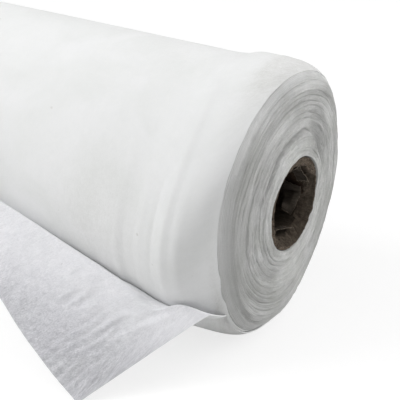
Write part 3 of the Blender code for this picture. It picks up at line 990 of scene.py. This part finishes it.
    def worn(self, places: Points) -> Points:
        """Where shade is painted on the cloth: more and more down the turned-back corner away from the fold, and in
        places on the roll.
        """
        down = (places - self.near) @ self.flat
        angle = self.form.angle_of(places)
        from_edge = self.edge_x - places[..., 0]
        worn = np.zeros_like(angle)
        for place, reach, centre, spread, strong in self.shade_patches:
            near = bump(from_edge - place * MM, reach * MM)
            worn = worn + strong * near * lobe(angle, centre, spread)
        free = self.past_roll(np.arange(places.shape[1])) > 0
        return np.clip(np.where(free, rise(down, self.worn_start, self.worn_fade), worn), 0, 1)

    def build(self) -> Piece:
        form = self.form
        places, flat = self.shape()
        cloth = grid("outer_web", places)
        grid_uv(cloth, flat)
        # Painted shade, stored for the finish of the web's two sides.
        store(cloth, worn=self.worn(places))
        cloth.data.materials.append(OUTER_SIDE.build())
        cloth.data.materials.append(INNER_SIDE.build())
        thicken(cloth, form.thickness, back_slot=1)
        shade(cloth, 60.0)
        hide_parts("outer_turn", "free_end", "turned_corner")
        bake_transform(cloth)
        report(cloth)
        return cloth


@dataclass(frozen=True)
class Crease:
    """A crease between two turns that have slid apart.

    Attributes:
        radius: Where it runs, in millimetres from the axis.
        width: Half its width in millimetres.
        centre: Its middle angle.
        reach: How far it runs to each side, in degrees.
        depth: How deep it is in millimetres.
    """

    radius: float
    width: float
    centre: float
    reach: float
    depth: float

    def depth_at(self, radius: Points, angle: Points) -> Points:
        """How deep the crease is at each point, as a sharp valley between rounded lips."""
        valley = np.exp(-np.abs(radius - self.radius * MM) / (self.width * MM))
        return self.depth * MM * valley * lobe(angle, self.centre, self.reach)


@dataclass
class PackedTurns:
    """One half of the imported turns, with its end face: the edges of the spiral's turns.

    Attributes:
        side: Which end it is.
        creases: The creases that show.
        noise: Which noise the end has.
        steps: How many points go round each turn.
        rings: How many points lie across each turn.
        lip: How high each turn's lip stands.
        broad: How far whole bundles of turns have slid.
        layer: How far a few turns have slid.
        single: How far single turns have slid.
        sporadic: How deep the creases are that noise adds, one each sporadic_step.
        sag_share: How much of the loose turn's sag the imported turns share.
        collar_edge: The collar's outline, each its angle, radius in millimetres and strength.
        wall_places: How far in from the end the outer wall has its rows.
    """

    side: Side
    creases: tuple[Crease, ...]
    noise: Noise
    form: RollForm = FORM
    steps: int = 288
    rings: int = 3
    lip: float = 0.55 * MM
    broad: float = 1.0 * MM
    layer: float = 0.65 * MM
    single: float = 0.3 * MM
    sporadic: float = 1.5 * MM
    sporadic_step: float = 3.4 * MM
    sag_share: float = 0.86
    collar_edge: tuple[Triple, ...] = (
        (-60, 66, 0), (20, 70, 0.25), (39, 66, 0.6), (60, 69, 1), (84, 71, 1), (107, 74, 1), (138, 63.5, 1),
        (166, 60, 0.8), (190, 58, 0),
    )
    wall_places: tuple[float, ...] = (3 * MM, 8 * MM, 16 * MM, 40 * MM, 80 * MM, 120 * MM, 170 * MM)

    def collar(self, radius: Points, angle: Points) -> tuple[Points, Points]:
        """The innermost turns, which have crept out further round the core, and the hollow beside them.

        Args:
            radius: Each point's distance from the axis.
            angle: Each point's angle.

        Returns:
            How far each point stands out, and how much it lies in the hollow from 0 to 1.
        """
        places, radii, strengths = zip(*self.collar_edge)
        edge = np.interp(angle, places, radii, period=360) * MM
        strong = np.interp(angle, places, strengths, period=360)
        wander = 0.8 * MM * self.noise.at(self.polar(angle, radius) + 5.0, 6.0)
        standing = 3.0 * MM * strong * smooth((edge - radius + wander) / (1.8 * MM) + 0.5)
        beside = lobe(angle, 141.0, 27.0) * bump(radius - edge - 8 * MM, 7 * MM)
        pleats = np.abs(np.sin(radius / MM * 0.55 + np.radians(angle) * 9.0)) * lobe(angle, 136.0, 13.0)
        pleats = pleats * bump(radius - 79 * MM, 8 * MM)
        peak = (56 - 0.10 * np.abs(angle_gap(angle, 99.0))) * MM
        small = lobe(angle, 97.0, 16.0) * bump(radius - peak, 0.9 * MM)
        gap = strong * np.exp(-np.abs(radius - edge - wander - 1.2 * MM) / (1.1 * MM))
        out = standing - 4.0 * MM * beside + 0.9 * MM * pleats + 0.9 * MM * small - 1.8 * MM * gap
        return out, np.clip(beside + 0.4 * pleats + 0.8 * gap, 0, 1)

    @staticmethod
    def polar(angle: Points, radius: Points) -> Points:
        """Places for noise that is long along the turns and short across them."""
        return on_circle(angle, 4, radius / MM)

    def sag(self, radius: Points, angle: Points, inwards: float) -> Points:
        """How far the outer turns hang down with the loose turn around them, this far in from the end."""
        if self.side is Side.DISHED:
            return 0.0 * radius * angle
        share = self.sag_share * Web.sag * smooth((Web.sag_reach - inwards) / Web.sag_fade)
        return share * lobe(angle, Web.sag_angle, Web.sag_spread) * rise(radius, 108 * MM, 24 * MM)

    def drawn_in(self, radius: Points, angle: Points, inwards: float) -> Points:
        """How far the outer turns are drawn in with the loose turn around them, this far in from the end."""
        if self.side is Side.DISHED:
            return 0.0 * radius * angle
        return self.form.pinch(angle, inwards + 2 * MM) * rise(radius, 98 * MM, 34 * MM)

    def fields(self, base: Points, angle: Points, radius: Points) -> tuple[Points, Points, Points]:
        """The relief of the end beyond the roll's plain form, and what its finish needs.

        Args:
            base: How many turns lie inside the turn that the point belongs to.
            angle: The point's angle.
            radius: The point's distance from the axis.

        Returns:
            How far each point stands out, how deep in a crease it lies from 0 to 1, which also paints shade, and how
            free it is of dust and of painted shade.
        """
        noise = self.noise
        ring, flat = on_circle(angle, 9, base), on_circle(angle, radius, 0.0)
        strayed = radius + 1.3 * MM * noise.at(ring + 11.0, 5.0) + 0.6 * MM * noise.at(ring + 23.0, 2.0)
        out = self.broad * noise.at(ring * np.array([1, 1, 0.7]), 7.0)
        out = out + self.layer * noise.at(ring * np.array([1, 1, 1.3]) + 7.0, 3.4)
        out = out + self.single * noise.at(ring * np.array([1.4, 1.4, 2.0]) + 3.0, 1.7)
        out = out * (0.25 + 0.75 * rise(radius, 50 * MM, 14 * MM))
        out = out + 0.35 * MM * noise.layered(flat, 7 * MM, 2)
        deep = np.zeros_like(out)
        for crease in self.creases:
            deep = np.maximum(deep, crease.depth_at(strayed, angle))
        count = int((self.form.pack_outer - self.form.pack_inner) / self.sporadic_step)
        for place in range(1, count):
            strong = np.clip(1.5 * noise.at(on_circle(angle, 3, 4.7 * place), 1.3), 0, 1)
            middle = self.form.pack_inner + self.sporadic_step * (place + 0.3 * math.sin(7.0 * place))
            valley = np.exp(-np.abs(strayed - middle) / (0.65 * MM))
            deep = np.maximum(deep, self.sporadic * strong * valley * (0.55 + 0.45 * math.cos(3.0 * place)))
        # Dust at random, lighter towards the outer rim.
        unshaded_clean = 0.5 + 0.4 * noise.at(ring + 31.0, 3.0) + 0.35 * noise.layered(flat + 0.2, 24 * MM, 2)
        unshaded_clean = unshaded_clean + 0.5 * rise(radius, 122 * MM, 10 * MM)
        if self.side is Side.DOMED:
            calm = self.calm(radius, angle)
            out, deep = out * (1 - 0.6 * calm), deep * (1 - 0.65 * calm)
            standing, hollow = self.collar(radius, angle)
            out = out + standing + self.form.end_wave(angle) * (radius / self.form.radius) ** 3
            # Painted shade: darker in the hollow beside the collar, over the front of the end and where the turns lie
            # calm; lighter near the core. The hollow and the front are also sunk and lean to the gap colour.
            unshaded_clean = unshaded_clean - 1.2 * hollow + 0.25 * smooth((66 * MM - radius) / (8 * MM))
            front = lobe(angle, -38.0, 40.0) * rise(radius, 82 * MM, 24 * MM)
            unshaded_clean = unshaded_clean - 1.3 * front - 0.5 * calm
            deep = np.maximum(deep, (1.5 * hollow + 0.35 * front) * MM)
        return out - deep, np.clip(deep / (2.4 * MM), 0, 1), np.clip(unshaded_clean, 0, 1)

    @staticmethod
    def calm(radius: Points, angle: Points) -> Points:
        """Where the turns lie so close that hardly an edge shows: the outer part of the front."""
        return lobe(angle, 2.0, 60.0) * rise(radius, 84 * MM, 14 * MM)

    def build(self) -> Piece:
        """Makes the half pack as one closed shell: bore wall, end face and outer wall."""
        form = self.form
        a = np.linspace(0, 1, self.steps + 1)[None, :]
        j = np.arange(self.rings * (form.turns - 1) + 1)[:, None]
        turns = j / self.rings + a
        base = (j - j % self.rings) / self.rings + a
        angle = form.start_angle + 360 * a * np.ones_like(j)
        radius = form.pack_inner + (form.pack_outer - form.pack_inner) / form.turns * turns
        out, crease, unshaded_clean = self.fields(base, angle, radius)
        valley = (j % self.rings == 0) * np.ones_like(a)
        spot = on_circle(angle, 4, base)
        lip = self.lip * (1 + 0.6 * self.noise.at(spot, 1.4))
        x = form.edge(radius, self.side) + self.side.value * (out - valley * lip)
        wobble = 0.5 * MM * self.noise.at(spot * np.array([1, 1, 0.2]), 1.3)
        inward = np.minimum((radius - form.pack_inner) / (6 * MM), (form.pack_outer - radius) / (6 * MM))
        shifted = radius + wobble * np.clip(inward, 0, 1) + self.sag(radius, angle, 0.0)
        face = form.around(x, shifted - self.drawn_in(radius, angle, 0.0), angle)
        around = form.start_angle + 360 * a
        inner, outer = form.pack_inner - 0.3 * MM, form.pack_outer - 0.4 * MM
        at_core = form.edge(form.pack_inner, self.side) - self.side.value * 2.0 * MM
        brink = float(form.edge(form.pack_outer, self.side))
        walls = [form.around(at, inner, around) for at in (0.0, at_core)]
        for inwards in self.wall_places:
            wall = outer + self.sag(outer, around, inwards) - self.drawn_in(outer, around, inwards)
            walls.append(form.around(brink - self.side.value * inwards, wall, around))
        walls += [form.around(0.0, wall, around) for wall in (outer, inner)]
        places = np.concatenate([*walls[:2], face, *walls[2:]])
        edge = np.ones((2, self.steps + 1))
        after = np.ones((len(walls) - 2, self.steps + 1))
        pack = grid("packed_turns_" + self.side.name.lower(), places)
        rim = rise(radius, 116 * MM, 16 * MM) * (1 - 0.75 * lobe(angle, -44.0, 34.0))
        calm = self.calm(radius, angle) if self.side is Side.DOMED else 0 * radius
        # Painted shade: creases and the valleys between turns lean to the gap colour, and the bore and outer walls
        # take it fully; the end face's tone carries dust and painted shade.
        store(
            pack,
            depth=np.concatenate([edge, np.maximum(0.22 * valley, crease), after]),
            band=np.concatenate([0.5 * edge, unshaded_clean, 0.5 * after]),
            rim=np.concatenate([0 * edge, rim, after]),
            calm=np.concatenate([0 * edge, calm, 0 * after]),
        )
        wound = [0 * places[:2], self.polar(angle, radius), 0 * places[-len(after) :]]
        store(pack, "FLOAT_VECTOR", wound=np.concatenate(wound))
        close_up(pack, 0.02 * MM)
        pack.data.materials.append(TURN_EDGES.build())
        shade(pack, 75.0)
        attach(pack, "roll")
        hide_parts("wound_web")
        report(pack)
        return pack


@dataclass
class Core:
    """The spiral-wound board tube with its torn mouth.

    Attributes:
        tear: The tear round the mouth, each its angle, the share of the wall that stands at the mouth, how far
            in the rest goes in millimetres, and how steeply it falls away (small numbers are steep).
        outside: How far behind the mouth the outer wall has its rows, in millimetres.
        inside: How far behind the tear the bore has its rows, in millimetres.
        lead: How far the peeled strip climbs for each degree, in millimetres.
        pitch: How far apart the strip's turns are, in millimetres.
    """

    form: RollForm = FORM
    columns: int = 360
    steps: int = 26
    tear: tuple[tuple[float, float, float, float], ...] = (
        (-60, 0.35, 9, 0.45), (-35, 0.60, 12, 0.4), (0, 0.74, 15, 0.25), (35, 0.60, 16, 0.22), (70, 0.62, 13, 0.3),
        (92, 0.90, 6, 0.8), (150, 0.92, 5, 0.8), (166, 0.12, 10, 0.9), (215, 0.06, 12, 1.0), (262, 0.10, 11, 1.0),
        (285, 0.26, 9, 0.5),
    )
    outside: tuple[float, ...] = (400, 60, 30, 15, 9, 4)
    inside: tuple[float, ...] = (1.5, 4, 7, 11, 16, 22, 30, 40, 52, 70, 100, 400)
    lead: float = 0.62
    pitch: float = 112.0
    noise: Noise = Noise(73)

    def around_mouth(self, angle: Points, column: int) -> Points:
        """One column of the tear at each angle."""
        return np.interp(angle, [row[0] for row in self.tear], [row[column] for row in self.tear], period=360)

    def build(self) -> Piece:
        """Makes the tube, from its outer wall over the torn mouth and down its bore to the other end."""
        form, noise = self.form, self.noise
        angle = np.linspace(0, 360, self.columns + 1)
        mouth = float(form.edge(form.core_radius, Side.DOMED)) - 0.8 * MM
        back = float(form.edge(form.core_radius, Side.DISHED))
        wall = form.core_radius - form.bore_radius
        proud = 1.1 * MM * lobe(angle, 205.0, 60.0) + 2.8 * MM * lobe(angle, 112.0, 50.0)
        ledge = self.around_mouth(angle, 1) + 0.13 * noise.layered(on_circle(angle, 9, 3.0), 1.0, 3)
        ledge = np.clip(ledge, 0.03, 0.95)
        fall, power = self.around_mouth(angle, 2) * MM, self.around_mouth(angle, 3)
        fall = fall * (1 + 0.25 * noise.layered(on_circle(angle, 6, 8.0), 1.0, 2))
        rows, torn, peel = [], [], []
        even = np.ones_like(angle)

        def add(x: Points, radius: Points, fibre: Points, peeled: Points = 0.0) -> None:
            """Adds a row round the tube."""
            rows.append(form.around(x * even, radius * even, angle))
            torn.append(fibre * even)
            peel.append(peeled * even)

        add(back, form.core_radius, 0.0)
        for from_mouth in self.outside:
            add(mouth - from_mouth * MM + proud, form.core_radius, 0.0)
        for step in range(self.steps + 1):
            share = step / self.steps
            past = np.clip((share - ledge) / (1 - ledge), 0, 1)
            rough = noise.layered(on_circle(angle, 14, share * 9), 1.0, 4)
            ply = 0.5 * MM * np.abs(noise.at(on_circle(angle, 3, share * 22), 1.0))
            down = fall * past**power + (0.5 + 0.6 * past) * MM * rough + ply - proud * (1 - share)
            shift = 0.45 * MM * noise.layered(on_circle(angle, 24, share * 8 + 40), 1.0, 2) * min(1.0, 8 * share)
            fibre = mix(0.25, 1.0, smooth((ledge - share) / 0.12 + 0.6)) * (0.6 + 0.4 * rough)
            add(mouth - down, form.core_radius - wall * share + shift, fibre, 0.2)
        for deeper in self.inside:
            x = mouth - fall - deeper * MM
            spiral = ((mouth - x) / MM + angle * self.lead) % self.pitch
            strip = smooth(np.minimum(spiral - 3.0, 34.0 - spiral) / 3.0)
            dent = 0.6 * MM * noise.at(on_circle(angle, 2.5, deeper / 16), 1.0) * float(deeper < 80)
            add(x, form.bore_radius + dent + 0.5 * MM * strip, 0.2 * float(deeper < 5), strip)
        add(back + 0.4 * MM, form.bore_radius, 0.0)
        add(back, form.bore_radius + 0.4 * MM, 0.4)
        add(back, form.core_radius - 0.4 * MM, 0.4)
        for values in (rows, torn, peel):
            values.append(values[0])
        tube = grid("board_core", np.array(rows))
        store(tube, torn=np.clip(np.array(torn), 0, 1), peel=np.array(peel))
        close_up(tube, 0.01 * MM)
        tube.data.materials.append(BOARD.build())
        shade(tube, 45.0)
        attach(tube, "roll")
        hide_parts("core_tube")
        report(tube)
        return tube


@dataclass
class LoosePly:
    """A ply that has peeled from the bore and crumpled.

    Attributes:
        node: The CAD node that it stands for.
        folds: Rows of fold points, each its depth behind the mouth and radius in millimetres and its angle.
        seed: Which crumple it has.
        ragged: How far its outline is torn, as a share of its size.
        rows: How many faces it has across its rows of fold points, and columns: how many along them.
    """

    node: str
    folds: tuple[tuple[Triple, ...], ...]
    seed: int
    ragged: float = 0.05
    form: RollForm = FORM
    thickness: float = 0.5 * MM
    rows: int = 60
    columns: int = 80

    def facets(self) -> Points:
        """The ply's middle: flat between its fold points, which noise makes a little uneven."""
        form, noise = self.form, Noise(self.seed)
        mouth = float(form.edge(form.core_radius, Side.DOMED))
        net = np.array(self.folds, float)
        points = form.around(mouth - net[..., 0] * MM, net[..., 1] * MM, net[..., 2])
        shares = (np.linspace(0, 1, self.rows + 1), np.linspace(0, 1, self.columns + 1))
        down, across = np.meshgrid(*shares, indexing="ij")
        flat = np.stack([down * 5, across * 7, 0 * down], axis=-1)
        inset = self.ragged * (0.5 + 0.5 * noise.layered(flat, 0.35, 4))
        down, across = (
            0.5 + (share - 0.5) * (1 - inset * smooth((np.abs(share - 0.5) - 0.3) / 0.2)) for share in (down, across)
        )
        along, sideways = down * (net.shape[0] - 1), across * (net.shape[1] - 1)
        row = np.clip(along.astype(int), 0, net.shape[0] - 2)
        column = np.clip(sideways.astype(int), 0, net.shape[1] - 2)
        in_row, in_column = (along - row)[..., None], (sideways - column)[..., None]
        upper = mix(points[row, column], points[row, column + 1], in_column)
        lower = mix(points[row + 1, column], points[row + 1, column + 1], in_column)
        places = mix(upper, lower, in_row)
        bend = np.stack([noise.at(places + 0.1 * axis, 7 * MM) for axis in range(3)], axis=-1)
        fine = np.stack([noise.at(places + 0.3 * axis, 2.2 * MM) for axis in range(3)], axis=-1)
        return places + 0.6 * MM * bend + 0.15 * MM * fine

    def build(self) -> Piece:
        """Makes the ply inside the bore, with torn fibre along its outline."""
        form = self.form
        places = self.facets()
        across = form.across(places)
        radius = np.linalg.norm(across, axis=-1, keepdims=True)
        within = np.minimum(radius, form.bore_radius - 0.3 * MM - self.thickness / 2)
        places[..., 1:] = np.array([0.0, form.axis_height]) + across * within / radius
        ply = grid(self.node + "_crumpled", places)
        down = np.abs(np.linspace(-1, 1, self.rows + 1))[:, None]
        beside = np.abs(np.linspace(-1, 1, self.columns + 1))[None, :]
        store(ply, torn=smooth((np.maximum(down, beside) - 0.93) / 0.05), peel=0.0 * down * beside)
        thicken(ply, self.thickness, even=False)
        ply.data.materials.append(PEELED_PLY.build())
        shade(ply, 45.0)
        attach(ply, "roll")
        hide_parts(self.node)
        report(ply)
        return ply


@dataclass
class Studio:
    """The floor, the lights and the camera.

    The camera's place, turn and focal length come from the photograph's perspective.

    Attributes:
        aim: Where all lamps point.
        floor_glow: How bright the floor is to the camera, and floor_share: how much of that it sees.
        sky: How strong the sky is as light, and backdrop: as seen by the camera.
        lamps: Each lamp's name, place, size and power.
    """

    camera_place: Triple = (1.0524, -1.1018, 0.7710)
    elevation: float = 27.316
    azimuth: float = 30.602
    focal: float = 125.76
    aim: Triple = (0.35, 0.0, 0.13)
    floor_size: float = 14.0
    floor_glow: float = 1.22
    floor_share: float = 0.62
    sky: float = 0.20
    backdrop: float = 0.86
    lamps: tuple[tuple[str, Triple, float, float], ...] = (
        ("overhead", (0.3, -0.35, 2.4), 1.8, 12.0),
        ("near_top", (-1.2, -1.0, 2.0), 1.6, 34.0),
        ("far_top", (1.6, 1.2, 2.0), 1.6, 9.0),
        ("far_side", (2.4, 1.3, 0.9), 1.6, 28.0),
        ("near_side", (-0.6, -2.2, 1.2), 1.6, 12.0),
    )

    def build(self) -> None:
        """Makes all of it."""
        self.floor()
        self.light()
        self.camera()

    def floor(self) -> None:
        """A plain floor that reads as white to the camera but keeps a soft shadow."""
        deselect()
        bpy.ops.mesh.primitive_plane_add(size=self.floor_size, location=(0, 0, 0))
        plane = bpy.context.active_object
        plane.name = "floor"
        bpy.ops.object.transform_apply(location=True, rotation=True, scale=True)
        made = NodeMaterial("pale_floor", 0.95, 0.0)
        fill(made.shader, Base_Color=(0.80, 0.80, 0.80, 1))
        white = fill(made.node("ShaderNodeEmission"), Color=(1, 1, 1, 1), Strength=self.floor_glow)
        seen = made.node("ShaderNodeLightPath").outputs["Is Camera Ray"]
        mixed = made.node("ShaderNodeMixShader")
        made.link(made.times(seen, self.floor_share), mixed.inputs["Fac"])
        made.link(made.shader.outputs[0], mixed.inputs[1])
        made.link(white.outputs[0], mixed.inputs[2])
        made.link(mixed.outputs[0], made.tree.nodes["Material Output"].inputs["Surface"])
        plane.data.materials.append(made.material)

    def light(self) -> None:
        """A weak even sky and large soft lamps overhead, beside and behind the roll."""
        world = bpy.data.worlds.new("sky")
        world.use_nodes = True
        sky = fill(world.node_tree.nodes["Background"], Color=(1, 1, 1, 1))
        seen = world.node_tree.nodes.new("ShaderNodeLightPath")
        strength = fill(world.node_tree.nodes.new("ShaderNodeMapRange"), To_Min=self.sky, To_Max=self.backdrop)
        world.node_tree.links.new(seen.outputs["Is Camera Ray"], strength.inputs["Value"])
        world.node_tree.links.new(strength.outputs["Result"], sky.inputs["Strength"])
        bpy.context.scene.world = world
        for name, place, size, power in self.lamps:
            deselect()
            bpy.ops.object.light_add(type="AREA", location=place)
            lamp = bpy.context.active_object
            lamp.name = name
            lamp.data.shape, lamp.data.size, lamp.data.energy = "DISK", size, power
            lamp.rotation_euler = (Vector(self.aim) - lamp.location).to_track_quat("-Z", "Y").to_euler()

    def camera(self) -> None:
        """The camera, at the photograph's angle."""
        deselect()
        turn = (math.radians(90 - self.elevation), 0, math.radians(self.azimuth))
        bpy.ops.object.camera_add(location=self.camera_place, rotation=turn)
        camera = bpy.context.active_object
        camera.data.lens, camera.data.sensor_width, camera.data.clip_end = self.focal, 36.0, 60.0
        bpy.context.scene.camera = camera
        bpy.context.scene.view_settings.view_transform = "Standard"


DOMED_CREASES = tuple(
    Crease(*row)
    for row in (
        (60, 0.9, -48, 34, 1.6), (64, 0.9, -48, 38, 2.2), (69, 0.8, -50, 32, 1.6), (76, 0.8, -40, 34, 1.0),
        (94, 0.9, -47, 30, 2.0), (98, 0.8, -47, 34, 1.7), (103, 0.8, -50, 32, 1.9), (108, 0.7, -54, 26, 1.3),
        (112, 0.9, -58, 28, 2.0), (117, 0.8, -62, 24, 1.6), (122, 0.7, -66, 24, 1.1), (115, 0.8, 98, 36, 1.7),
        (110, 0.8, 108, 40, 1.8), (104, 0.9, 92, 44, 2.2), (99, 0.7, 100, 36, 1.3), (92, 0.9, 102, 34, 2.0),
        (86, 0.8, 110, 40, 1.3), (124, 0.8, 82, 60, 1.6), (119, 0.7, 60, 44, 1.3), (125, 0.8, 20, 60, 1.2),
        (108, 0.9, 20, 60, 1.4), (101, 0.7, 34, 50, 1.1), (88, 0.9, 10, 70, 1.3), (80, 0.7, 20, 50, 1.0),
        (117, 0.8, 0, 60, 1.0), (56, 0.8, 100, 26, 1.0),
    )
)
DISHED_CREASES = tuple(
    Crease(*row)
    for row in (
        (120, 0.9, 80, 70, 1.8), (112, 0.8, 110, 60, 1.4), (98, 0.9, 200, 60, 1.8), (90, 0.8, 150, 60, 1.2),
        (70, 0.9, -60, 50, 1.8), (110, 0.9, -40, 44, 1.8), (104, 0.8, -30, 40, 1.4),
    )
)
UPPER_PLY = LoosePly(
    "loose_ply_upper",
    (
        ((2.5, 35.5, 96), (2.0, 39.0, 112), (3.0, 34.5, 124), (3.5, 33.0, 140), (2.0, 34.5, 154), (2.5, 36.8, 168)),
        ((6.0, 33.5, 98), (6.0, 36.0, 112), (7.0, 33.0, 128), (8.0, 34.5, 143), (6.0, 36.0, 156), (8.0, 37.2, 168)),
        ((17, 37.3, 100), (20, 36.0, 114), (21, 37.3, 130), (20, 36.5, 146), (18, 37.3, 160), (16, 37.3, 172)),
    ),
    101,
)
BACK_PLY = LoosePly(
    "loose_ply_back",
    (
        ((12, 37.0, 180), (19, 35.0, 177), (26, 33.0, 171), (33, 36.0, 167)),
        ((10, 33.5, 181), (17, 30.0, 179), (24.5, 28.0, 172), (31, 30.0, 168)),
        ((10.5, 36.0, 186), (16, 35.5, 188), (27, 37.2, 190), (33, 37.3, 188)),
        ((11.5, 36.8, 198), (17.5, 32.5, 201), (26, 32.5, 203), (32, 37.0, 203)),
        ((13.5, 37.0, 214), (18, 34.0, 217), (25, 28.0, 220), (29, 33.0, 217)),
        ((16, 37.2, 229), (19, 36.0, 228), (25, 30.5, 226), (30, 36.5, 222)),
    ),
    211,
)
LOWER_PLY = LoosePly(
    "loose_ply_lower",
    (
        ((2.0, 34.0, 337), (10.0, 31.0, 305), (14.0, 30.5, 281), (9.0, 31.5, 263), (4.5, 35.5, 250)),
        ((9.0, 35.5, 336), (18.0, 33.5, 306), (22.0, 33.0, 282), (17.0, 33.5, 264), (11.0, 36.5, 251)),
        ((16, 37.3, 334), (26, 37.3, 306), (30, 37.3, 284), (27, 37.3, 265), (21, 37.3, 252)),
    ),
    307,
    ragged=0.10,
)


def main() -> None:
    """Builds every piece in order."""
    logging.basicConfig(level=logging.INFO, format="%(message)s")
    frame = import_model()
    Studio().build()
    Web().build()
    PackedTurns(Side.DOMED, DOMED_CREASES, Noise(41)).build()
    PackedTurns(Side.DISHED, DISHED_CREASES, Noise(59)).build()
    Core().build()
    for ply in (UPPER_PLY, BACK_PLY, LOWER_PLY):
        ply.build()
    tape = frame["nodes"]["start_tape"]
    tape.data.materials.clear()
    tape.data.materials.append(TapeFinish().build())


if __name__ == "__main__":
    main()
